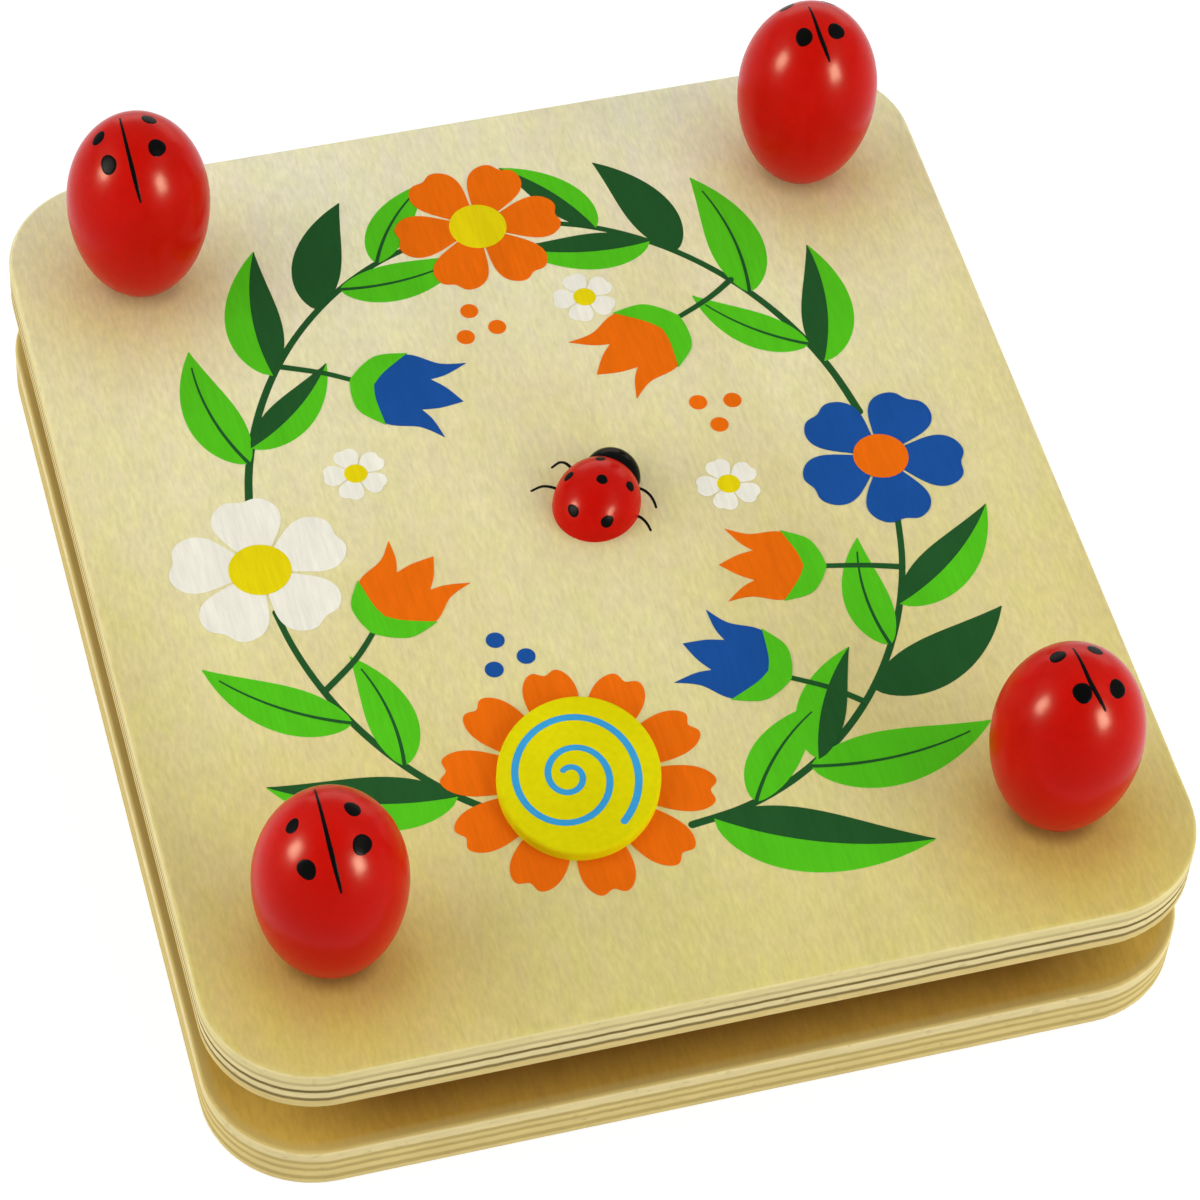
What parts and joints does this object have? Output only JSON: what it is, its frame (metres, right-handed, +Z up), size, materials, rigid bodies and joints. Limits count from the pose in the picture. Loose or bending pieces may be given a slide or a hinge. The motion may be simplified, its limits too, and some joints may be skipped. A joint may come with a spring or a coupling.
{
  "type": "flower press",
  "caption": "Flower press: two round-cornered plywood boards on screw bolts, clamped over card and blotting paper by egg-shaped turning knobs painted as ladybirds.",
  "frame": {"origin": "centre of the bottom board's underside, which stands on the table", "axes": "+Z up along the bolts, +X to the right and -Y to the front of the press as printed"},
  "size_m": [0.2, 0.23, 0.0855],
  "materials": {
    "plywood": "pale sanded plywood with a thin satin lacquer",
    "red_paint": "turned wood under gloss red paint",
    "black_paint": "wood under gloss black paint",
    "yellow_paint": "wood under satin yellow paint",
    "zinc": "zinc plated",
    "brass": "turned",
    "card": "corrugated brown card",
    "paper": "soft blotting paper"
  },
  "bodies": {
    "base": {"bottom_board": "plywood", "bolt_front_left": "zinc", "bolt_front_right": "zinc", "bolt_back_right": "zinc", "bolt_back_left": "zinc", "card_1": "card", "card_2": "card", "card_3": "card", "card_4": "card", "card_5": "card", "paper_1": "paper", "paper_2": "paper", "paper_3": "paper", "paper_4": "paper", "paper_5": "paper", "paper_6": "paper", "paper_7": "paper", "paper_8": "paper"},
    "lid": {"top_board": "plywood", "beetle_body": "red_paint", "beetle_head": "black_paint", "disc": "yellow_paint"},
    "knob_front_left": {"knob_front_left": "red_paint", "insert_front_left": "brass"},
    "knob_front_right": {"knob_front_right": "red_paint", "insert_front_right": "brass"},
    "knob_back_right": {"knob_back_right": "red_paint", "insert_back_right": "brass"},
    "knob_back_left": {"knob_back_left": "red_paint", "insert_back_left": "brass"}
  },
  "joints": [
    {"name": "lid_lift", "type": "slide", "parent": "base", "child": "lid", "axis": [0, 0, 1], "range_m": [0, 0.01525]},
    {"name": "knob_front_left_turn", "type": "hinge", "parent": "lid", "child": "knob_front_left", "pos_m": [-0.073, -0.087, 0.04], "axis": [0, 0, 1], "range_deg": [0, 5490.5]},
    {"name": "knob_front_right_turn", "type": "hinge", "parent": "lid", "child": "knob_front_right", "pos_m": [0.073, -0.087, 0.04], "axis": [0, 0, 1], "range_deg": [0, 5490.5]},
    {"name": "knob_back_right_turn", "type": "hinge", "parent": "lid", "child": "knob_back_right", "pos_m": [0.073, 0.087, 0.04], "axis": [0, 0, 1], "range_deg": [0, 5490.5]},
    {"name": "knob_back_left_turn", "type": "hinge", "parent": "lid", "child": "knob_back_left", "pos_m": [-0.073, 0.087, 0.04], "axis": [0, 0, 1], "range_deg": [0, 5490.5]}
  ],
  "couplings": [
    {"joint": "knob_front_left_turn", "follows": "lid_lift", "rad_per_m": 6283.2},
    {"joint": "knob_front_right_turn", "follows": "lid_lift", "rad_per_m": 6283.2},
    {"joint": "knob_back_right_turn", "follows": "lid_lift", "rad_per_m": 6283.2},
    {"joint": "knob_back_left_turn", "follows": "lid_lift", "rad_per_m": 6283.2}
  ]
}
